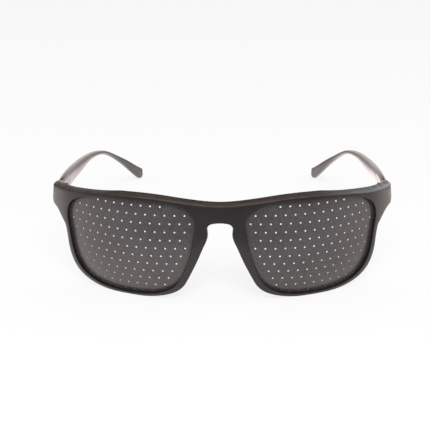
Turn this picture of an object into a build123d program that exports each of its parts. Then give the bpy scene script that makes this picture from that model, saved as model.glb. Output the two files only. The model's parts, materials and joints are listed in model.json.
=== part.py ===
from build123d import *
from math import cos, radians, sin, sqrt, tan
import os

# Pinhole glasses: a black moulded front with two dished, perforated plates in place of
# lenses, and two temples that fold on small metal hinges.
# Millimetres. X runs across the face, +X to the wearer's left. The front faces -Y and the
# temples run back to +Y. The glasses stand open on the floor, Z = 0, on the bottoms of the
# rims and the ends of the temples. The origin is below the middle of the whole object.
# The wearer's left side is modelled, and the right side is its mirror image.

# Perforated plates and how they sit on the face
lens_width = 56.0
lens_height = 41.5
lens_radius = 68.0            # outer face of the dished plate
lens_thickness = 0.5
lens_seat_height = 20.7       # the plate's datum point above the floor
bridge_width = 19.0           # between the two plates' openings
wrap_angle = 25.0             # each plate is turned to follow the face
tilt_angle = 4.8              # lower edge nearer the cheeks

# Pinholes, in a triangular pattern that is a little twisted on the plate. Each widens to
# the back, so that it also lets light through at a slant.
hole_diameter = 0.66          # at the front
hole_back_diameter = 1.3
hole_pitch = 4.0
pattern_twist = -2.7
hole_margin = 0.35            # least distance from a hole's centre to the plate's opening

# Front moulding
rim_width = 1.2
rim_depth = 3.7
lens_recess = 1.5             # the plate's face lies behind the rim's front
groove_depth = 0.5            # the plate's edge held in the rim
bar_rise = 1.1                # brow bar above the plates
bar_cover = 0.5               # plastic left over the plate's top edge
bar_climb_angle = 13.0        # the bar's top slopes up to the back
end_climb_angle = 6.0         # and less so above the end pieces
end_piece_width = 8.5
end_piece_length = 4.5
end_piece_taper = 2.1
end_corner_radius = 3.6       # between the front's face and the end piece's side
pad_reach = 5.5               # nose pads behind the rims
pad_flare_angle = 15.0

# Temples
temple_reach = 128.0
temple_bow_radius = 400.0
temple_thickness = 2.5
temple_root_height = 7.5
temple_neck_height = 1.9
temple_tip_height = 5.8
temple_corner_radius = 1.6    # at the tip's end
temple_edge_radius = 0.8      # along its length

# Hinges: three knuckles on one screw, and two flat leaves
knuckle_diameter = 3.0
knuckle_height = 1.3
hinge_rise = 0.2              # above the lower edge of the temple's root
hinge_screw_diameter = 1.4
hinge_head_diameter = 2.2
leaf_thickness = 0.9
leaf_length = 6.2
leaf_pocket_depth = 0.3
leaf_screw_diameter = 1.0
leaf_head_diameter = 1.7
leaf_screw_grip = 1.4         # length in the plastic
screw_head_height = 0.45
driver_slot_width = 0.35

# Clearances
seat_clearance = 0.05         # plates in their grooves and screws in their holes
joint_gap = 0.1               # end pieces to temples
knuckle_gap = 0.06            # between knuckles, along the screw
swing_gap = 0.12              # round the turning knuckles
overrun = 5.0                 # how far cutting shapes pass the material
outline_points = 48           # that the plate's edge is drawn through

# The rim's outer outline on the plate's own plane, in shares of the plate's width and
# height, and the way in to the plate's opening, in shares of the rim's width
rim_shares = [
    (0.491, 0.135, -2.0, 0.1), (0.469, 0.402, -2.5, -1.7), (0.333, 0.487, -0.9, -1.9),
    (0.054, 0.545, 0.0, -1.35), (-0.232, 0.552, 0.0, -1.2), (-0.500, 0.518, 0.8, -1.6),
    (-0.621, 0.398, 3.0, -0.8), (-0.650, 0.217, 4.1, -0.5), (-0.607, 0.007, 3.0, 0.3),
    (-0.539, -0.198, 1.9, 0.7), (-0.458, -0.375, 1.5, 1.2), (-0.341, -0.457, 0.6, 1.1),
    (-0.161, -0.499, 0.0, 1.0), (0.054, -0.507, 0.0, 1.0), (0.271, -0.469, -0.8, 1.3),
    (0.397, -0.361, -1.7, 1.2), (0.454, -0.122, -1.8, 0.2)]

# Front edge of the bar's top, and the edge of the flatter top over its end pieces:
# shares of the half width, and of the plate's height
crease_shares = [
    (0.0, 0.449), (0.155, 0.470), (0.324, 0.506), (0.493, 0.513), (0.662, 0.491),
    (0.80, 0.458), (0.86, 0.440), (0.93, 0.426), (1.0, 0.421)]
end_crease_shares = [
    (0.0, 0.560), (0.324, 0.553), (0.550, 0.523), (0.662, 0.494), (0.80, 0.458),
    (0.86, 0.440), (0.93, 0.426), (1.0, 0.421)]

# The opening for the nose, and the end piece's lower edge where it leaves the rim: shares
# of the bridge's width and of the half width, and of the plate's height
gap_shares = [
    (0.0, 0.323), (0.137, 0.318), (0.232, 0.301), (0.266, 0.272), (0.253, 0.212),
    (0.337, 0.094), (0.411, 0.012), (0.542, -0.128), (0.660, -0.245), (0.730, -0.310),
    (0.776, -0.366)]
bar_foot_share = 0.212
end_root_share = (0.904, 0.120)
end_under_shares = [(0.922, 0.166), (0.940, 0.212), (0.963, 0.258), (0.991, 0.282)]

# Outline of a nose pad on the rim, in the same shares as the opening for the nose
pad_shares = [
    (0.300, 0.188), (0.421, 0.019), (0.568, -0.137), (0.663, -0.205), (0.705, -0.161),
    (0.611, -0.053), (0.495, 0.080), (0.400, 0.207)]

# First and last hole of each row, from the top
row_ends = [
    (3, 10), (0, 12), (-1, 12), (-1, 12), (-1, 11), (-2, 10), (-2, 10), (-2, 9), (-2, 9),
    (-2, 8), (-2, 7), (-1, 4)]

# Temple seen from the side: shares of its reach and of its root's height above the floor,
# and how much of the root's and the tip's extra height the place has
temple_shares = [
    (0.0, 1.0, 1.0, 0.0), (0.15, 0.984, 0.86, 0.0), (0.30, 0.947, 0.61, 0.0),
    (0.42, 0.921, 0.25, 0.0), (0.52, 0.871, 0.07, 0.0), (0.60, 0.802, 0.0, 0.0),
    (0.68, 0.692, 0.0, 0.0), (0.76, 0.550, 0.0, 0.12), (0.85, 0.371, 0.0, 0.47),
    (0.93, 0.190, 0.0, 0.87)]
tip_top_share = 0.128
tip_floor_share = 0.978

# Places that follow from the sizes
lens_inner_share = 0.577
lens_outer_share = 0.373
leaf_screw_shares = (0.43, 0.82)
hole_row_offset = 5.5         # rows above the plate's datum point
hole_column_offset = 5
datum_x = bridge_width / 2 + lens_inner_share * lens_width
end_x = datum_x + lens_outer_share * lens_width + end_piece_width
front_radius = lens_radius + lens_recess
back_radius = front_radius - rim_depth
skin_x = datum_x - lens_radius * sin(radians(wrap_angle))
skin_z = lens_seat_height + lens_radius * cos(radians(wrap_angle)) * sin(radians(tilt_angle))
end_bottom_z = lens_seat_height + end_under_shares[-1][1] * lens_height
root_z = end_bottom_z + temple_root_height / 2
root_top_z = end_bottom_z + temple_root_height


def depth_behind_front(x, z):
    """How far the front's face lies behind its foremost point."""
    reach = max(abs(x) - skin_x, 0)
    return front_radius - sqrt(front_radius ** 2 - reach ** 2 - (z - skin_z) ** 2)


joint_depth = depth_behind_front(end_x, root_z) + end_piece_length
overall_length = joint_depth + joint_gap + temple_reach
front_y = -overall_length / 2
skin_y = front_y + front_radius
joint_y = front_y + joint_depth
temple_y = joint_y + joint_gap
temple_x = end_x - end_piece_taper
seat_x = temple_x - temple_thickness + leaf_pocket_depth
hinge_x = seat_x - leaf_pocket_depth - knuckle_diameter / 2
hinge_y = joint_y + joint_gap / 2
hinge_height = 3 * knuckle_height + 2 * knuckle_gap
hinge_z = end_bottom_z + hinge_rise + hinge_height / 2

outward = Vector(
    sin(radians(wrap_angle)),
    -cos(radians(wrap_angle)) * cos(radians(tilt_angle)),
    -cos(radians(wrap_angle)) * sin(radians(tilt_angle)))
across = Vector(
    cos(radians(wrap_angle)),
    sin(radians(wrap_angle)) * cos(radians(tilt_angle)),
    sin(radians(wrap_angle)) * sin(radians(tilt_angle)))
skin_centre = Vector(skin_x, skin_y, skin_z)
lens_plane = Plane(origin=skin_centre + outward * lens_radius, x_dir=across, z_dir=outward)
front_plane = Plane(origin=(0, front_y - overrun, 0), x_dir=(1, 0, 0), z_dir=(0, -1, 0))
side_plane = Plane(origin=(0, temple_y, 0), x_dir=(0, 1, 0), z_dir=(1, 0, 0))
backwards = (0, 1, 0)


def block(low, high):
    """A box from its lowest to its highest corner."""
    size = [h - l for l, h in zip(low, high)]
    middle = [(h + l) / 2 for l, h in zip(low, high)]
    return Pos(*middle) * Box(*size)


def skin(radius):
    """The ball-ended round bar that the left half of the front's faces lie on."""
    plane = Plane(origin=(0, skin_y, skin_z), x_dir=(1, 0, 0), z_dir=(0, 0, 1))
    edge = Polyline((skin_x + radius, 0), (0, 0), (0, radius), (skin_x, radius))
    end = RadiusArc((skin_x, radius), (skin_x + radius, 0), radius)
    profile = plane * make_face(edge + end)
    return revolve(profile, Axis((0, skin_y, skin_z), (1, 0, 0)))


def rim_outline(inset):
    """Smooth closed outline: the rim's outer edge at 0, the plate's opening at 1."""
    points = [
        (u * lens_width + inset * du * rim_width, v * lens_height + inset * dv * rim_width)
        for u, v, du, dv in rim_shares]
    return make_face(Spline(*points, periodic=True))


def across_plate(sketch, forward, backward):
    """Raise a sketch on the plate's plane, square to it."""
    start = lens_plane.offset(forward)
    return extrude(start * sketch, -(forward + backward))


def plate_outline(edge):
    """The plate's opening grown all round by the given width."""
    grown = rim_outline(1).face().outer_wire().offset_2d(edge)
    points = [grown.position_at(i / outline_points) for i in range(outline_points)]
    return make_face(Spline(*points, periodic=True))


def above_bar(shares, climb_angle, depth):
    """Everything above a top that slopes up from the given front edge, less a depth."""
    slope = tan(radians(climb_angle))
    points = []
    for x_share, z_share in shares:
        x = x_share * end_x
        z = lens_seat_height + z_share * lens_height + bar_rise - depth
        points.append((x, z - slope * (depth_behind_front(x, z) + overrun)))
    last_x, last_z = points[-1]
    end = (last_x + overrun, 2 * last_z - points[-2][1])
    half = points + [end]
    left = [(-x, z) for x, z in reversed(half[1:])]
    top_z = root_top_z + 2 * overrun
    edge = Spline(*left, *half)
    lid = Polyline(half[-1], (end[0], top_z), (-end[0], top_z), left[0])
    return extrude(
        front_plane * make_face(edge + lid), joint_depth + 3 * overrun,
        dir=(0, 1, slope))


def under_bar_top(body, depth):
    """What lies more than the given depth below the bar's top and the end piece's top."""
    body -= above_bar(crease_shares, bar_climb_angle, depth)
    return body - above_bar(end_crease_shares, end_climb_angle, depth)


def bar_half():
    """The bridge, brow bar and end piece as seen from the front, left half."""
    under = [(x * end_x, lens_seat_height + z * lens_height) for x, z in end_under_shares]
    end_root = (end_root_share[0] * end_x,
                lens_seat_height + end_root_share[1] * lens_height)
    low_z = lens_seat_height + bar_foot_share * lens_height
    top_z = root_top_z + overrun
    edges = [
        Polyline((end_x, top_z), (0, top_z), (0, low_z), (end_root[0], low_z), end_root,
                 under[0]),
        Spline(*under),
        Polyline(under[-1], (end_x, root_z), (end_x, top_z))]
    face = front_plane * make_face(edges)
    bar = extrude(face, joint_depth + overrun, dir=backwards)
    corner_y = joint_y - end_piece_length
    plan = make_face(Polyline(
        (0, front_y - overrun), (end_x, front_y - overrun), (end_x, corner_y),
        (temple_x, joint_y), (0, joint_y), close=True))
    return bar & extrude(plan, top_z)


def rounded_end(bar):
    """Round the corner between the front's face and the end piece's outer side."""
    corner = [
        edge for edge in bar.edges()
        if edge.center().X > temple_x
        and all(abs((v.center() - skin_centre).length - front_radius) < seat_clearance
                for v in edge.vertices())]
    return fillet(corner, end_corner_radius)


def nose_gap():
    """The opening for the nose, cut straight back through the front, left half."""
    edge = [(x * bridge_width, lens_seat_height + z * lens_height) for x, z in gap_shares]
    end = edge[-1]
    edges = [
        Spline(*edge, tangents=[(1, 0), (end[0] - edge[-2][0], end[1] - edge[-2][1])]),
        Polyline(end, (end[0], -overrun), (0, -overrun), edge[0])]
    face = front_plane * make_face(edges)
    return extrude(face, joint_depth + overrun, dir=backwards)


def nose_pad():
    """One moulded nose pad, flaring outwards behind the rim."""
    points = [(x * bridge_width, lens_seat_height + z * lens_height) for x, z in pad_shares]
    root_y = front_y + rim_depth - lens_recess / 2
    plane = Plane(origin=(0, root_y, 0), x_dir=(1, 0, 0), z_dir=(0, -1, 0))
    face = plane * make_face(Spline(*points, periodic=True))
    flare = tan(radians(pad_flare_angle))
    root_radius = (back_radius + lens_radius - lens_thickness) / 2
    return extrude(face, pad_reach + lens_recess / 2, dir=(flare, 1, 0)) & skin(root_radius)


def leaf_pocket(low_y, high_y):
    """Shallow seat for a hinge leaf in the plastic's inner face."""
    half = hinge_height / 2 + seat_clearance
    return block(
        (seat_x - temple_thickness, low_y, hinge_z - half), (seat_x, high_y, hinge_z + half))


def leaf_screw_places(direction):
    """Centres of a leaf's two fixing screws, on the seat."""
    return [
        (seat_x, hinge_y + direction * share * leaf_length, hinge_z)
        for share in leaf_screw_shares]


def along_x(diameter, low_x, high_x, place):
    """A round bar across the hinge leaf, at a screw's place."""
    plane = Plane(origin=(low_x, place[1], place[2]), z_dir=(1, 0, 0))
    return extrude(plane * Circle(diameter / 2), high_x - low_x)


def screw_bores(direction):
    """Blind holes in the plastic for a leaf's fixing screws."""
    end = seat_x + leaf_screw_grip + seat_clearance
    wide = leaf_screw_diameter + 2 * seat_clearance
    return [along_x(wide, seat_x - overrun, end, p) for p in leaf_screw_places(direction)]


def front_half():
    """Left half of the front moulding."""
    rim = across_plate(rim_outline(0), overrun, lens_radius / 2)
    lug = block(
        (temple_x - temple_thickness, front_y, end_bottom_z),
        (end_x, joint_y + overrun, root_top_z + overrun))
    hollow = skin(back_radius) - lug
    bar = rounded_end(bar_half() & skin(front_radius))
    half = ((rim & skin(front_radius)) + bar) - hollow
    half -= across_plate(rim_outline(1), overrun, lens_radius / 2)
    half -= nose_gap()
    half += nose_pad()
    groove = across_plate(plate_outline(groove_depth + seat_clearance), 0, lens_radius / 2)
    ball = Pos(*skin_centre)
    groove &= ball * Sphere(lens_radius + seat_clearance)
    groove -= ball * Sphere(lens_radius - lens_thickness - seat_clearance)
    half -= under_bar_top(groove, bar_cover - seat_clearance)
    half -= block(
        (temple_x - temple_thickness, front_y, root_top_z),
        (end_x + overrun, joint_y + overrun, root_top_z + 2 * overrun))
    half -= leaf_pocket(joint_y - leaf_length - seat_clearance, joint_y + overrun)
    half -= screw_bores(-1)
    half -= block((-overrun, front_y, -overrun), (end_x, joint_y, 0))
    return half & block((0, front_y, 0), (end_x, joint_y, root_top_z + 2 * overrun))


def frame_front():
    """The whole front: rims, bridge, brow bar, end pieces and nose pads in one moulding."""
    half = under_bar_top(front_half(), 0)
    return half + mirror(half, about=Plane.YZ)


def pinholes():
    """The plate's holes, each square to its dished face."""
    opening = rim_outline(1).face()
    edge = opening.outer_wire()
    twist = radians(pattern_twist)
    up = outward.cross(across)
    flare = (hole_back_diameter - hole_diameter) / 2
    wide_end = (hole_back_diameter + flare) / 2
    narrow_end = (hole_diameter - flare) / 2
    hole = Cone(wide_end, narrow_end, 2 * lens_thickness)
    holes = []
    for row, (first, last) in enumerate(row_ends):
        b = row - hole_row_offset
        for column in range(first, last + 1):
            a = column - hole_column_offset
            u = hole_pitch * (a + b / 2)
            v = -hole_pitch * b * sqrt(3) / 2
            turned_u = u * cos(twist) - v * sin(twist)
            turned_v = u * sin(twist) + v * cos(twist)
            span = sqrt(turned_u ** 2 + turned_v ** 2)
            swing = span / lens_radius
            shrink = sin(swing) / swing
            flat = Vector(turned_u * shrink, turned_v * shrink, 0)
            if not opening.is_inside(flat) or edge.distance_to(flat) < hole_margin:
                continue
            sideways = (across * turned_u + up * turned_v) * (sin(swing) / span)
            normal = outward * cos(swing) + sideways
            middle = skin_centre + normal * (lens_radius - lens_thickness / 2)
            plane = Plane(origin=middle, x_dir=up.cross(normal), z_dir=normal)
            holes.append(plane * hole)
    return holes


def lens_plate():
    """One dished plate with its pinholes."""
    ball = Pos(*skin_centre)
    plate = across_plate(plate_outline(groove_depth), 0, lens_radius / 2)
    plate &= ball * Sphere(lens_radius)
    plate -= ball * Sphere(lens_radius - lens_thickness)
    return under_bar_top(plate, bar_cover) - pinholes()


def temple():
    """One temple, tall at its root, thin over the ear, with a flat rounded end."""
    top = []
    under = []
    for s, z, root, tip in temple_shares:
        height = (temple_neck_height + root * (temple_root_height - temple_neck_height)
                  + tip * (temple_tip_height - temple_neck_height))
        top.append((s * temple_reach, z * root_z + height / 2))
        under.append((s * temple_reach, z * root_z - height / 2))
    end_top = (temple_reach, tip_top_share * root_z)
    floor_start = (tip_floor_share * temple_reach, 0)
    edges = [
        Spline(*top, end_top),
        Polyline(end_top, (temple_reach, 0), floor_start),
        Spline(floor_start, *reversed(under)),
        Line(under[0], top[0])]
    profile = make_face(edges)
    end_corners = profile.vertices().sort_by(Axis.X)[-2:]
    profile = fillet(end_corners, temple_corner_radius)
    side = extrude(side_plane * profile, end_x)
    centre = Pos(temple_x - temple_bow_radius, temple_y, 0)
    bow = Cylinder(temple_bow_radius, 2 * root_top_z)
    bow -= Cylinder(temple_bow_radius - temple_thickness, 2 * root_top_z)
    body = side & (centre * bow)
    long_edges = body.edges().filter_by(lambda edge: edge.length > temple_reach)
    body = fillet(long_edges, temple_edge_radius)
    body -= leaf_pocket(temple_y - overrun, temple_y + leaf_length + seat_clearance)
    return body - screw_bores(1)


def knuckle(level):
    """One of the three knuckles, 0 at the middle, -1 below and 1 above."""
    z = hinge_z + level * (knuckle_height + knuckle_gap) - knuckle_height / 2
    plane = Plane(origin=(hinge_x, hinge_y, z))
    return extrude(plane * Circle(knuckle_diameter / 2), knuckle_height)


def knuckle_room(level):
    """The space that a turning knuckle needs in the other leaf."""
    height = knuckle_height + 2 * knuckle_gap
    z = hinge_z + level * (knuckle_height + knuckle_gap) - height / 2
    low = z - overrun * (level < 0)
    high = z + height + overrun * (level > 0)
    plane = Plane(origin=(hinge_x, hinge_y, low))
    return extrude(plane * Circle(knuckle_diameter / 2 + swing_gap), high - low)


def knuckle_web(level, direction):
    """The metal that joins a knuckle to its leaf."""
    z = hinge_z + level * (knuckle_height + knuckle_gap) - knuckle_height / 2
    y = sorted((hinge_y, hinge_y + direction * knuckle_diameter / 2))
    return block((hinge_x, y[0], z), (seat_x - leaf_thickness / 2, y[1], z + knuckle_height))


def leaf(direction, own, other):
    """A hinge leaf: -1 for the front's, which holds the outer knuckles, 1 for the temple's."""
    start = joint_y if direction < 0 else temple_y
    y = sorted((start, start + direction * leaf_length))
    half = hinge_height / 2
    plate = block((seat_x - leaf_thickness, y[0], hinge_z - half), (seat_x, y[1], hinge_z + half))
    for level in other:
        plate -= knuckle_room(level)
    for level in own:
        plate += knuckle(level) + knuckle_web(level, direction)
    for place in leaf_screw_places(direction):
        low_x = seat_x - leaf_thickness
        plate -= along_x(leaf_screw_diameter + 2 * seat_clearance, low_x, seat_x, place)
        plate -= along_x(
            leaf_head_diameter + 2 * seat_clearance, low_x, low_x + screw_head_height, place)
    bore = Plane(origin=(hinge_x, hinge_y, hinge_z - half))
    wide = hinge_screw_diameter / 2 + seat_clearance
    head_wide = hinge_head_diameter / 2 + seat_clearance
    plate -= extrude(bore * Circle(wide), hinge_height)
    head = bore.offset(hinge_height - screw_head_height)
    return plate - extrude(head * Circle(head_wide), screw_head_height)


def hinge_screw():
    """The screw that the knuckles turn on, with a slotted head."""
    low = Plane(origin=(hinge_x, hinge_y, hinge_z - hinge_height / 2))
    head = low.offset(hinge_height - screw_head_height + seat_clearance)
    depth = screw_head_height - seat_clearance
    screw = extrude(low * Circle(hinge_screw_diameter / 2), hinge_height - depth)
    screw += extrude(head * Circle(hinge_head_diameter / 2), depth)
    slot = head.offset(depth / 2) * Rectangle(driver_slot_width, hinge_head_diameter)
    return screw - extrude(slot, depth)


def leaf_screws(direction):
    """The two screws that hold a leaf to the plastic, heads flush with the leaf."""
    screws = []
    for place in leaf_screw_places(direction):
        low_x = seat_x - leaf_thickness
        neck_x = low_x + screw_head_height - seat_clearance
        screw = along_x(leaf_head_diameter, low_x, neck_x, place)
        screw += along_x(leaf_screw_diameter, neck_x, seat_x + leaf_screw_grip, place)
        half_slot = driver_slot_width / 2
        screw -= block(
            (low_x, place[1] - leaf_head_diameter, place[2] - half_slot),
            ((low_x + neck_x) / 2, place[1] + leaf_head_diameter, place[2] + half_slot))
        screws.append(screw)
    return Compound(children=[s.solid() for s in screws])


def main():
    """Write one file for each piece, both sides."""
    os.makedirs("parts", exist_ok=True)
    export_step(frame_front(), "parts/frame_front.step")
    left = {
        "lens": lens_plate(),
        "temple": temple(),
        "front_hinge_leaf": leaf(-1, (-1, 1), (0,)),
        "temple_hinge_leaf": leaf(1, (0,), (-1, 1)),
        "hinge_screw": hinge_screw(),
        "front_leaf_screws": leaf_screws(-1),
        "temple_leaf_screws": leaf_screws(1)}
    for name, piece in left.items():
        export_step(piece, f"parts/{name}_left.step")
        export_step(mirror(piece, about=Plane.YZ), f"parts/{name}_right.step")
    print("overall length", round(overall_length, 2), "width", round(2 * end_x, 2))
    print("front y", round(front_y, 3), "hinge axis at", round(hinge_x, 3), round(hinge_y, 3))
    print("hinge middle z", round(hinge_z, 3), "root top z", round(root_top_z, 3))


if __name__ == "__main__":
    main()
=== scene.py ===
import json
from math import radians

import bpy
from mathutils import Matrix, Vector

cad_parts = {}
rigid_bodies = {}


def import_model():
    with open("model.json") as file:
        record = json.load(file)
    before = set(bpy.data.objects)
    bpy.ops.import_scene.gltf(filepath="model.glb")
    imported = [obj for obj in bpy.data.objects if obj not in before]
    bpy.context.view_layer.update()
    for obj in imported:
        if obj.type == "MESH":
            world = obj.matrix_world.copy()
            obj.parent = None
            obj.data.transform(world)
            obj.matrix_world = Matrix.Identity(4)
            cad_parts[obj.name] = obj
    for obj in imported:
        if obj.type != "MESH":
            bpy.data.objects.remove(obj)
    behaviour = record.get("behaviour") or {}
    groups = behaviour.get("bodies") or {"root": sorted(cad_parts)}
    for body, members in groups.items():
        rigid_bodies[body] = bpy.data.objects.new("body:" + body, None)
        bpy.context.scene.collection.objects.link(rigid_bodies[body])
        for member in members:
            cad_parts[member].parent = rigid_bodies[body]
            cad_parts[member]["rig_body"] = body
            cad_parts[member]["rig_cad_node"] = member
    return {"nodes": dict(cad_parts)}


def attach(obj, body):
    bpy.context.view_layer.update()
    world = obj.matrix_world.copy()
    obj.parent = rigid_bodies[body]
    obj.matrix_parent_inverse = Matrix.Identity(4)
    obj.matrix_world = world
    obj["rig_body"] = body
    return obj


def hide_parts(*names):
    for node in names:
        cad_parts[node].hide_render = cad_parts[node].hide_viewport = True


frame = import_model()

# %% [markdown]
# A pair of black pinhole glasses, dressed for its picture. The solids come from the frame:
# a moulded front, two dished plates full of small holes, two temples and their hinges.
# They already have the right sizes. What they lack is what light needs: softened edges,
# a moulded skin with its fine grain, and metal that looks like metal.

scene = bpy.context.scene
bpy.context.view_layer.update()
mm = 0.001
sides = ("left", "right")

# %% [markdown]
# The photograph was taken from straight in front, a little above, with a long lens. A
# camera is easiest to set as an orbit: a point to look at, a distance, an elevation and
# a small turn to one side. Blender's camera looks down its own -Z, so it is first tipped
# up by a right angle to look along +Y, then rolled, lowered and turned.

# %% Camera
aim = Vector((-2.12 * mm, -74.68 * mm, 34.92 * mm))
camera_distance = 430 * mm
camera_elevation = radians(20.0)
camera_turn = radians(1.63)
camera_roll = radians(0.53)
camera_lens = 90.75
sensor_width = 36.0
right_angle = radians(90)
matrix_size = 4

turned = (Matrix.Rotation(camera_turn, matrix_size, "Z")
          @ Matrix.Rotation(-camera_elevation, matrix_size, "X"))
placed = Matrix.Translation(aim + turned @ Vector((0, -camera_distance, 0)))
tipped = (Matrix.Rotation(camera_roll, matrix_size, "Y")
          @ Matrix.Rotation(right_angle, matrix_size, "X"))
bpy.ops.object.camera_add()
camera = bpy.context.object
camera.name = "photo_camera"
camera.matrix_world = placed @ turned @ tipped
camera.data.sensor_width = sensor_width
camera.data.lens = camera_lens
scene.camera = camera
scene.view_settings.view_transform = "Standard"
print("camera at", [round(v, 3) for v in camera.matrix_world.translation])

# %% [markdown]
# Materials are built from nodes, and node maths is hard to read as a list of links. The
# first small class wraps one socket and gives it Python's own operators, so a mask can be
# written as 1 - mask * 0.5. The second holds a material or the world while it is wired
# up, and adds any other node by its type, its settings and what goes into its sockets.

# %% Node maths
class Value:
    """One socket's value, which can be added, subtracted and multiplied."""

    def __init__(self, finish, socket):
        self.finish = finish
        self.socket = socket

    def maths(self, operation, first, second):
        return self.finish.node("Math", {"operation": operation}, {0: first, 1: second})

    def __add__(self, other):
        return self.maths("ADD", self, other)

    def __sub__(self, other):
        return self.maths("SUBTRACT", self, other)

    def __rsub__(self, other):
        return self.maths("SUBTRACT", other, self)

    def __mul__(self, other):
        return self.maths("MULTIPLY", self, other)

    __radd__ = __add__
    __rmul__ = __mul__


print("operators for sockets: + - *")

# %% Finishes
# The Mix node has one set of sockets for each kind of data, so its colours go by number.
mix_share = 0
mix_first = 6
mix_second = 7
mix_colour = 2


class Finish:
    """A material or the world while it is wired up."""

    def __init__(self, owner):
        owner.use_nodes = True
        self.owner = owner
        self.tree = owner.node_tree
        self.tree.nodes.clear()

    def node(self, kind, settings=None, sockets=None, output=0):
        made = self.tree.nodes.new("ShaderNode" + kind)
        for name, setting in (settings or {}).items():
            setattr(made, name, setting)
        for name, value in (sockets or {}).items():
            if isinstance(value, Value):
                self.tree.links.new(value.socket, made.inputs[name])
            else:
                made.inputs[name].default_value = value
        if len(made.outputs) == 0:
            return made
        return Value(self, made.outputs[output])

    def place(self):
        """The point's own coordinates on the object, in metres."""
        return self.node("TexCoord", {}, {}, "Object")

    def part_of(self, vector, axis):
        """One coordinate of a vector."""
        return self.node("SeparateXYZ", {}, {0: vector}, axis)

    def blend(self, share, first, second):
        """A colour that goes from the first to the second as the share goes from 0 to 1."""
        colours = {mix_share: share, mix_first: first, mix_second: second}
        return self.node("Mix", {"data_type": "RGBA"}, colours, mix_colour)

    def fade(self, value, start, end):
        """Goes smoothly from 0 to 1 as the value goes from start to end."""
        return self.node("MapRange", {"interpolation_type": "SMOOTHSTEP"},
                         {0: value, 1: start, 2: end})

    def drop(self, value, start, end):
        """Goes smoothly from 1 to 0 as the value goes from start to end."""
        return 1 - self.fade(value, start, end)

    def size_of(self, value):
        """The value without its sign."""
        return self.node("Math", {"operation": "ABSOLUTE"}, {0: value})


print("finishes are wired by type, settings and sockets")

# %% [markdown]
# The glasses stand on a white sheet. A black glossy thing is mostly a picture of what is
# round it, so the sheet is painted twice. The camera sees it pure white, with a little of
# the plain matt white under it that takes the shadow. Reflections see painted light and
# shade on it: painted shade, dim and cool, in front of the glasses, which keeps the front
# black, a painted shadow close to their right half and behind the temples' tips, a painted
# pool of light beside the right temple, and warm white elsewhere. Light Path tells the
# two kinds of ray apart.

# %% Sheet
floor_size = 6.0
floor_drop = 0.05 * mm
floor_white = (0.93, 0.93, 0.93, 1)
floor_glow = 0.8
pure_white = (1, 1, 1, 1)
warm_white = (1.0, 0.90, 0.875, 1)
cool_white = (0.94, 0.95, 1.0, 1)

bpy.ops.mesh.primitive_plane_add(size=floor_size, location=(0, 0, -floor_drop))
floor = bpy.context.object
floor.name = "floor"
print("sheet of", floor_size, "m, just under the glasses")

# %% What the sheet mirrors
# Each pair is where a change starts and ends on the sheet, in metres from its middle.
# These place and weigh the sheet's painted shade, painted shadow and painted pool of light.
front_reach = (-0.17, -0.11)
front_width = (0.08, 0.22)
front_dim = 0.6
right_start = (-0.005, 0.02)
right_end = (0.10, 0.13)
right_near = (-0.12, -0.10)
right_far = (-0.05, -0.02)
right_dim = 0.14
rear_start = (0.085, 0.125)
rear_dim = 0.5
patch_start = (0.02, 0.05)
patch_near = (0.02, 0.05)
patch_far = (0.10, 0.13)
patch_light = 0.5

sheet = Finish(bpy.data.materials.new("white_sheet"))
spot = sheet.place()
forward = sheet.part_of(spot, "Y")
sideways = sheet.part_of(spot, "X")
# Painted shade in front, a painted shadow near the right half and at the rear, and a painted
# pool of light behind on the right, all seen only in reflections.
painted_shade_in_front = (sheet.drop(forward, *front_reach)
            * sheet.drop(sheet.size_of(sideways), *front_width))
painted_shadow_near_right = (sheet.fade(sideways, *right_start) * sheet.drop(sideways, *right_end)
              * sheet.fade(forward, *right_near) * sheet.drop(forward, *right_far))
painted_shade_at_rear = sheet.fade(forward, *rear_start)
painted_light_patch = (sheet.fade(sideways, *patch_start) * sheet.fade(forward, *patch_near)
             * sheet.drop(forward, *patch_far))
# How bright reflections see the sheet, with its painted shade and painted light.
mirror_level = ((1 - painted_shade_in_front * front_dim) * (1 - painted_shadow_near_right * right_dim)
                * (1 - painted_shade_at_rear * rear_dim) * (1 + painted_light_patch * patch_light))
mirror_colour = sheet.blend(painted_shade_in_front, warm_white, cool_white)
print("sheet dimmed in front, near the right half and at the rear, lit behind on the right")

# %% Sheet's material
seen = sheet.node("LightPath", {}, {}, "Is Camera Ray")
mirrored = sheet.node("LightPath", {}, {}, "Is Glossy Ray")
through = sheet.node("LightPath", {}, {}, "Is Transmission Ray")
level = seen + mirrored * mirror_level + through
colour = sheet.blend(mirrored, pure_white, mirror_colour)
matt_white = sheet.node("BsdfDiffuse", {}, {"Color": floor_white})
bright_white = sheet.node("Emission", {}, {"Color": colour, "Strength": level})
share = seen * floor_glow + mirrored + through
surface = sheet.node("MixShader", {}, {0: share, 1: matt_white, 2: bright_white})
sheet.node("OutputMaterial", {}, {"Surface": surface})
floor.data.materials.append(sheet.owner)
print("white sheet has", len(sheet.tree.nodes), "nodes")

# %% [markdown]
# The room is a world shader made in the same way. It is white to the camera. Reflections
# see a warm white backdrop low behind the glasses, a dark room above it, a bright ceiling
# straight overhead, and a cool window high at the back on the right. To the sides the
# backdrop gets dimmer. The ceiling shows only in edges that are rounded over the top, so
# it draws the thin light line along the brow bar. The window gives the right end piece
# its pale top.

# %% Room
# Each pair is where a change starts and ends, as one part of a direction of length 1.
backdrop_depth = (-0.5, 0.3)
backdrop_top = (0.05, 0.45)
side_start = (0.25, 0.65)
side_dim = 0.7
ceiling_start = (0.82, 0.92)
ceiling_light = 5.0
window_left = (0.20, 0.34)
window_right = (0.42, 0.60)
window_depth = (0.2, 0.4)
window_sill = (0.2, 0.34)
window_top = (0.60, 0.72)
window_light = 1.5
world_light = 0.6
room_dark = 0.16
brown_dark = (1.0, 0.80, 0.70, 1)
window_blue = (0.90, 0.94, 1.0, 1)

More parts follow.
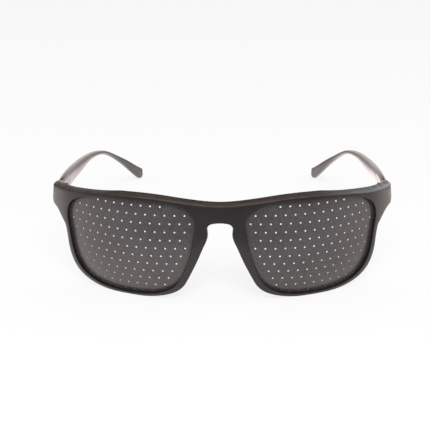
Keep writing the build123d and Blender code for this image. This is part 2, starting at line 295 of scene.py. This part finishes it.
if scene.world is None:
    scene.world = bpy.data.worlds.new("studio")
room = Finish(scene.world)
direction = room.node("TexCoord", {}, {}, "Generated")
to_right = room.part_of(direction, "X")
backwards = room.part_of(direction, "Y")
upwards = room.part_of(direction, "Z")
aside = room.fade(room.size_of(to_right), *side_start)
backdrop = (room.fade(backwards, *backdrop_depth) * room.drop(upwards, *backdrop_top)
            * (1 - aside * side_dim))
ceiling = room.fade(upwards, *ceiling_start)
window = (room.fade(to_right, *window_left) * room.drop(to_right, *window_right)
          * room.fade(backwards, *window_depth)
          * room.fade(upwards, *window_sill) * room.drop(upwards, *window_top))
print("room with backdrop, ceiling and window")

# %% Room's light
plain_sight = room.node("LightPath", {}, {}, "Is Camera Ray")
reflection = room.node("LightPath", {}, {}, "Is Glossy Ray")
transmission = room.node("LightPath", {}, {}, "Is Transmission Ray")
other = (1 - plain_sight) * (1 - reflection) * (1 - transmission)
reflected_level = (backdrop * (1 - room_dark) + room_dark
                   + ceiling * ceiling_light + window * window_light)
tint = room.blend(backdrop, brown_dark, warm_white)
tint = room.blend(window, tint, window_blue)
tint = room.blend(reflection, pure_white, tint)
strength = plain_sight + transmission + reflection * reflected_level + other * world_light
glow = room.node("Background", {}, {"Color": tint, "Strength": strength})
room.node("OutputWorld", {}, {"Surface": glow})
print("room has", len(room.tree.nodes), "nodes")

# %% [markdown]
# Three soft boxes light the object itself: one in front and above, and one at each side.
# Large and weak, they leave no hard shadow. A lamp shines down its own -Z, so each is
# turned to face the glasses.

# %% Lamps
key_place = (0.05, -0.62, 0.62)
key_size = 0.35
key_power = 3.8
fill_places = {"left_fill": (-0.7, 0.1, 0.3), "right_fill": (0.7, 0.1, 0.3)}
fill_size = 0.5
fill_power = 0.9


def soft_lamp(name, place, size, power):
    """A square soft box that faces the glasses."""
    bpy.ops.object.light_add(type="AREA", location=place)
    lamp = bpy.context.object
    lamp.name = name
    lamp.data.size = size
    lamp.data.energy = power
    lamp.rotation_euler = (aim - Vector(place)).to_track_quat("-Z", "Y").to_euler()
    print(name, "of", power, "W at", place)


soft_lamp("key", key_place, key_size, key_power)
for fill, fill_place in fill_places.items():
    soft_lamp(fill, fill_place, fill_size, fill_power)

# %% [markdown]
# Moulded plastic is never one flat colour. The tool that made it leaves a fine grain,
# which breaks up reflections, and handling polishes some places more than others. Both
# are noise: a small one for the grain, which also drives a bump, and a large one that
# shifts the roughness slowly over the piece. Object coordinates keep the grain at its
# real size. A thin clear coat stands for the polish, and its weight may change from
# place to place.

# %% Plastic
cloud_size = 18 * mm
cloud_share = 0.4
cloud_rough = 0.12
cloud_detail = 1.0
grain_rough = 0.08
grain_detail = 2.0
noise_middle = 0.5
plastic_ior = 1.5
bump_strength = 0.5


def noise(finish, size, detail=grain_detail):
    """Noise between 0 and 1 with lumps of about the given size in metres."""
    return finish.node("TexNoise", {}, {
        "Vector": finish.place(), "Scale": 1 / size, "Detail": detail})


def black_plastic(name, dark, pale, rough, grain, depth, coat, coat_rough,
                  spread=noise_middle):
    """Moulded plastic with a grain of the given size and depth, and its own polish."""
    finish = Finish(bpy.data.materials.new(name))
    lumps = finish.fade(noise(finish, grain), noise_middle - spread, noise_middle + spread)
    cloud = noise(finish, cloud_size, cloud_detail)
    mixed = lumps * (1 - cloud_share) + cloud * cloud_share
    least_rough = rough - (cloud_rough + grain_rough) / 2
    roughness = cloud * cloud_rough + lumps * grain_rough + least_rough
    bump = finish.node("Bump", {}, {
        "Height": lumps, "Strength": bump_strength, "Distance": depth})
    skin = finish.node("BsdfPrincipled", {}, {
        "Base Color": finish.blend(mixed, dark, pale), "Roughness": roughness,
        "Normal": bump, "IOR": plastic_ior, "Coat Weight": coat(finish),
        "Coat Roughness": coat_rough})
    finish.node("OutputMaterial", {}, {"Surface": skin})
    print(name, "has", len(finish.tree.nodes), "nodes")
    return finish.owner


# %% [markdown]
# The front is almost black and handled most at its end pieces, which are polished to a
# shine. The temples are polished where they leave the hinges and satin at the tips. Worn
# edges are smoother than the faces beside them, and a little paler, partly from wear and
# partly as a painted highlight along the rounded edges.

# %% Front and temple plastic
end_pieces = (60 * mm, 68 * mm)
middle_shine = 0.25
temple_wear = (0 * mm, 60 * mm)
edge_shine = 0.6


def front_polish(finish):
    """More shine on the end pieces than between them."""
    off_middle = finish.size_of(finish.part_of(finish.place(), "X"))
    return finish.fade(off_middle, *end_pieces) * (1 - middle_shine) + middle_shine


def temple_polish(finish):
    """Full shine from the hinge to about a third of the way, and none at the tip."""
    return finish.drop(finish.part_of(finish.place(), "Y"), *temple_wear)


def edge_polish(finish):
    """Worn edges shine all along, here and there a little less."""
    return noise(finish, cloud_size) * (1 - edge_shine) + edge_shine


front_plastic = black_plastic(
    "front_plastic", (0.008, 0.007, 0.008, 1), (0.020, 0.016, 0.015, 1),
    rough=0.34, grain=0.5 * mm, depth=0.006 * mm, coat=front_polish, coat_rough=0.2)
# Paler edge colour: partly wear, partly a painted highlight along the rounded edges.
edge_wear_and_highlight_plastic = black_plastic(
    "worn_edge_plastic", (0.020, 0.017, 0.015, 1), (0.045, 0.038, 0.034, 1),
    rough=0.26, grain=0.5 * mm, depth=0.003 * mm, coat=edge_polish, coat_rough=0.18)
temple_plastic = black_plastic(
    "temple_plastic", (0.030, 0.026, 0.024, 1), (0.050, 0.042, 0.038, 1),
    rough=0.20, grain=0.5 * mm, depth=0.002 * mm, coat=temple_polish, coat_rough=0.06)

# %% [markdown]
# The plates are of a greyer plastic with a visible speckle. Their noise is stretched to a
# stronger contrast. The walls of the holes are cut, not moulded, so they are duller. They
# are also painted paler, a painted light that makes the holes read brighter.

# %% Plate plastic
plate_shine = 0.7
wall_shine = 0.1


def plate_polish(finish):
    """A nearly even shine with slow clouds."""
    return noise(finish, cloud_size) * (1 - plate_shine) + plate_shine


def wall_polish(finish):
    """A cut wall has only a trace of shine."""
    return noise(finish, cloud_size) * wall_shine


plate_plastic = black_plastic(
    "plate_plastic", (0.020, 0.017, 0.019, 1), (0.076, 0.066, 0.070, 1),
    rough=0.36, grain=0.55 * mm, depth=0.012 * mm, coat=plate_polish, coat_rough=0.25,
    spread=0.22)
# Paler hole walls: painted light that makes the holes read brighter.
painted_light_wall_plastic = black_plastic(
    "hole_wall_plastic", (0.06, 0.052, 0.052, 1), (0.14, 0.12, 0.12, 1),
    rough=0.5, grain=0.3 * mm, depth=0.005 * mm, coat=wall_polish, coat_rough=0.2)

# %% [markdown]
# The hinges are small steel stampings. Steel is all reflection, so its colour goes into
# a metallic shader, and fine scratches come from noise that is stretched a long way in
# one direction. They shift the colour and the roughness together.

# %% Steel
scratch_width = 0.12 * mm
scratch_stretch = 20
scratch_rough = 0.2


def steel(name, dark, pale, rough):
    """Brushed steel with scratches along X."""
    finish = Finish(bpy.data.materials.new(name))
    stretched = finish.node("Mapping", {}, {
        "Vector": finish.place(), "Scale": (1 / scratch_stretch, 1, 1)})
    scratches = finish.node("TexNoise", {}, {"Vector": stretched, "Scale": 1 / scratch_width})
    skin = finish.node("BsdfPrincipled", {}, {
        "Base Color": finish.blend(scratches, dark, pale), "Metallic": 1.0,
        "Roughness": scratches * scratch_rough + (rough - scratch_rough / 2)})
    finish.node("OutputMaterial", {}, {"Surface": skin})
    print(name, "has", len(finish.tree.nodes), "nodes")
    return finish.owner


hinge_steel = steel("hinge_steel", (0.17, 0.165, 0.16, 1), (0.23, 0.225, 0.22, 1), 0.36)
screw_steel = steel("screw_steel", (0.26, 0.255, 0.25, 1), (0.34, 0.335, 0.33, 1), 0.30)

# %% [markdown]
# A solid from the frame is a bag of loose triangles with knife-sharp edges, and it may
# not be changed itself. So each piece is made from a copy, merged into one skin. An edge
# can be softened by remeshing and smoothing, but that eats thin rims. A Bevel modifier
# keeps every face where it is and rounds only the edges that are sharper than a set
# angle, so the bevel is the better way here.

# %% Copies
merge_distance = 0.001 * mm


def copy_of(node, name):
    """A merged copy of a solid's mesh, as an object of its own."""
    bpy.ops.object.select_all(action="DESELECT")
    solid = frame["nodes"][node]
    solid.select_set(True)
    bpy.context.view_layer.objects.active = solid
    bpy.ops.object.duplicate()
    piece = bpy.context.object
    piece.parent = None
    piece.matrix_world = Matrix.Identity(matrix_size)
    piece.name = name
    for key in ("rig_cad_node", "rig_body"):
        if key in piece:
            del piece[key]
    bpy.ops.object.mode_set(mode="EDIT")
    bpy.ops.mesh.select_all(action="SELECT")
    bpy.ops.mesh.remove_doubles(threshold=merge_distance)
    bpy.ops.object.mode_set(mode="OBJECT")
    return piece


def paint(piece, materials):
    """Give the piece these materials and no others."""
    piece.data.materials.clear()
    for material in materials:
        piece.data.materials.append(material)


def stand_in(piece, node):
    """Let the piece stand for the solid on the same body."""
    body = frame["nodes"][node].parent.name.removeprefix("body:")
    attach(piece, body)
    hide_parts(node)
    print(piece.name, len(piece.data.polygons), "faces on", body)


# %% [markdown]
# The front and the temples are mouldings. A mould can't have a sharp inside corner, so
# each edge gets a third of a millimetre of rounding. The bevel puts its new faces in the
# second material slot, which on the front is the worn, polished edge with its painted
# highlight.

# %% Front and temples
edge_width = 0.34 * mm
edge_segments = 3
edge_angle = radians(32)
edge_slot = 1
smooth_angle = radians(35)


def soften_edges(piece):
    """Round the piece's sharp edges with a bevel whose faces take the second material."""
    bevel = piece.modifiers.new("edges", "BEVEL")
    bevel.width = edge_width
    bevel.segments = edge_segments
    bevel.limit_method = "ANGLE"
    bevel.angle_limit = edge_angle
    bevel.use_clamp_overlap = True
    bevel.material = edge_slot
    bpy.context.view_layer.objects.active = piece
    bpy.ops.object.modifier_apply(modifier=bevel.name)
    bpy.ops.object.shade_smooth_by_angle(angle=smooth_angle)


def moulding(node, name, materials):
    """A moulded piece with softened edges."""
    piece = copy_of(node, name)
    paint(piece, materials)
    soften_edges(piece)
    stand_in(piece, node)


moulding("frame_front", "front_moulding", (front_plastic, edge_wear_and_highlight_plastic))
for side in sides:
    moulding(f"temple_{side}", f"temple_arm_{side}", (temple_plastic, temple_plastic))

# %% [markdown]
# The plates are the hardest to shade. Each face has well over a hundred holes, and the
# long thin triangles between them would show as stars. The dished faces lie on a ball,
# though, so the right normal at a point is simply the line from the ball's centre. Those
# normals are written onto the mesh. The walls of the holes and the rim keep their own.

# %% Dished shading
dish_centre = Vector((13.074 * mm, -13.051 * mm, 25.857 * mm))
least_facing = 0.7
face_slot = 0
wall_slot = 1
no_normal = (0, 0, 0)


def shade_dished(plate, centre):
    """Shade the dished faces as the ball they lie on, and give the hole walls their slot."""
    mesh = plate.data
    normals = []
    for face in mesh.polygons:
        facing = face.normal.dot((face.center - centre).normalized())
        dished = abs(facing) >= least_facing
        face.material_index = face_slot if dished else wall_slot
        for corner in face.vertices:
            straight = (mesh.vertices[corner].co - centre).normalized()
            if facing < 0:
                straight = -straight
            normals.append(straight if dished else no_normal)
    mesh.normals_split_custom_set(normals)
    print(plate.name, "shaded as a ball")


# %% Plates
def smooth_copy(node, name, materials):
    """A merged copy whose round faces are shaded smooth and whose edges stay crisp."""
    piece = copy_of(node, name)
    bpy.ops.object.shade_smooth_by_angle(angle=smooth_angle)
    paint(piece, materials)
    stand_in(piece, node)
    return piece


for side in sides:
    plate = smooth_copy(
        f"lens_{side}", f"pinhole_plate_{side}", (plate_plastic, painted_light_wall_plastic))
    flip = 1 if side == "left" else -1
    shade_dished(plate, Vector((flip * dish_centre.x, dish_centre.y, dish_centre.z)))

# %% [markdown]
# The hinge parts are cut and stamped, so their edges stay crisp. They only need round
# faces that look round, and their steel.

# %% Hinge metal
hinge_parts = (
    ("front_hinge_leaf", hinge_steel, "hinge"),
    ("temple_hinge_leaf", hinge_steel, "hinge"),
    ("hinge_screw", screw_steel, "screw"),
    ("front_leaf_screws", screw_steel, "screw"),
    ("temple_leaf_screws", screw_steel, "screw"))

for side in sides:
    for part, metal, slot in hinge_parts:
        smooth_copy(f"{part}_{side}", f"{part}_metal_{side}", (metal,))
